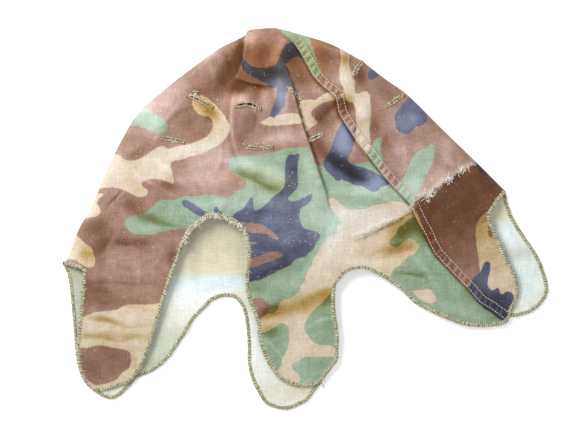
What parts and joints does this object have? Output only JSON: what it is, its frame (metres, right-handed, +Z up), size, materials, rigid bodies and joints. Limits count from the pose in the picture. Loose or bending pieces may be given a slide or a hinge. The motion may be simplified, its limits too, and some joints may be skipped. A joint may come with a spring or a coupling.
{
  "type": "camouflage helmet cover",
  "caption": "Woodland camouflage cloth helmet cover lying flat, with a crown seam, flaps round the rim and bound foliage slits.",
  "frame": {"origin": "centre of the underside of the flattened cover", "axes": "+X along the width of the flattened mouth, +Y towards the crown, +Z up off the table"},
  "size_m": [0.4586, 0.3626, 0.0172],
  "materials": {
    "camouflage_cloth": "matt, woodland print outside, pale inside",
    "overlock_thread": "matt",
    "topstitch_thread": "matt",
    "buttonhole_thread": "matt, slightly frayed"
  },
  "bodies": {
    "cover": {"back_crown_felled_band": "camouflage_cloth", "back_crown_inner_topstitch": "topstitch_thread", "back_crown_outer_topstitch": "topstitch_thread", "back_left_corner_rim_overlock": "overlock_thread", "back_left_rim_overlock": "overlock_thread", "back_right_corner_rim_overlock": "overlock_thread", "back_right_rim_overlock": "overlock_thread", "front_crown_felled_band": "camouflage_cloth", "front_crown_inner_topstitch": "topstitch_thread", "front_crown_outer_topstitch": "topstitch_thread", "front_left_corner_rim_overlock": "overlock_thread", "front_left_rim_overlock": "overlock_thread", "front_right_corner_rim_overlock": "overlock_thread", "front_right_rim_overlock": "overlock_thread", "left_panel_back": "camouflage_cloth", "left_panel_front": "camouflage_cloth", "left_panel_front_slit_binding_1": "buttonhole_thread", "left_panel_front_slit_binding_2": "buttonhole_thread", "left_panel_front_slit_binding_3": "buttonhole_thread", "left_panel_front_slit_binding_4": "buttonhole_thread", "left_panel_front_slit_binding_5": "buttonhole_thread", "left_panel_front_slit_binding_6": "buttonhole_thread", "right_panel_back": "camouflage_cloth", "right_panel_back_slit_binding_1": "buttonhole_thread", "right_panel_back_slit_binding_2": "buttonhole_thread", "right_panel_back_slit_binding_3": "buttonhole_thread", "right_panel_back_slit_binding_4": "buttonhole_thread", "right_panel_front": "camouflage_cloth", "right_panel_front_slit_binding_1": "buttonhole_thread", "right_panel_front_slit_binding_2": "buttonhole_thread"},
    "back_left_flap": {"back_left_flap_felled_band": "camouflage_cloth", "back_left_flap_inner_topstitch": "topstitch_thread", "back_left_flap_left_half": "camouflage_cloth", "back_left_flap_outer_topstitch": "topstitch_thread", "back_left_flap_overlock": "overlock_thread", "back_left_flap_right_half": "camouflage_cloth"},
    "back_middle_flap": {"back_middle_flap": "camouflage_cloth", "back_middle_flap_overlock": "overlock_thread"},
    "back_right_flap": {"back_right_flap": "camouflage_cloth", "back_right_flap_overlock": "overlock_thread"},
    "front_left_flap": {"front_left_flap": "camouflage_cloth", "front_left_flap_overlock": "overlock_thread"},
    "front_middle_flap": {"front_middle_flap": "camouflage_cloth", "front_middle_flap_overlock": "overlock_thread"},
    "front_right_flap": {"front_right_flap_felled_band": "camouflage_cloth", "front_right_flap_inner_topstitch": "topstitch_thread", "front_right_flap_left_half": "camouflage_cloth", "front_right_flap_outer_topstitch": "topstitch_thread", "front_right_flap_overlock": "overlock_thread", "front_right_flap_right_half": "camouflage_cloth"}
  },
  "joints": [
    {"name": "front_left_fold", "type": "hinge", "parent": "cover", "child": "front_left_flap", "pos_m": [-0.17029, -0.05216, 0.0088], "axis": [-0.9989, -0.0465, 0], "range_deg": [0, 110]},
    {"name": "front_middle_fold", "type": "hinge", "parent": "cover", "child": "front_middle_flap", "pos_m": [-0.01579, -0.05766, 0.0088], "axis": [-0.9944, 0.1053, 0], "range_deg": [0, 110]},
    {"name": "front_right_fold", "type": "hinge", "parent": "cover", "child": "front_right_flap", "pos_m": [0.12671, -0.02866, 0.0088], "axis": [-0.8167, -0.577, 0], "range_deg": [0, 110]},
    {"name": "back_left_fold", "type": "hinge", "parent": "cover", "child": "back_left_flap", "pos_m": [-0.16029, -0.07816, 0.0008], "axis": [-0.9981, 0.0614, 0], "range_deg": [0, 61]},
    {"name": "back_middle_fold", "type": "hinge", "parent": "cover", "child": "back_middle_flap", "pos_m": [-0.01979, -0.08016, 0.0008], "axis": [-0.9975, -0.0704, 0], "range_deg": [0, 61]},
    {"name": "back_right_fold", "type": "hinge", "parent": "cover", "child": "back_right_flap", "pos_m": [0.14671, -0.03216, 0.0008], "axis": [-0.808, -0.5892, 0], "range_deg": [0, 56]}
  ],
  "couplings": [
    {"joint": "back_left_fold", "follows": "front_left_fold", "ratio": 0.55},
    {"joint": "back_middle_fold", "follows": "front_middle_fold", "ratio": 0.55},
    {"joint": "back_right_fold", "follows": "front_right_fold", "ratio": 0.5}
  ]
}
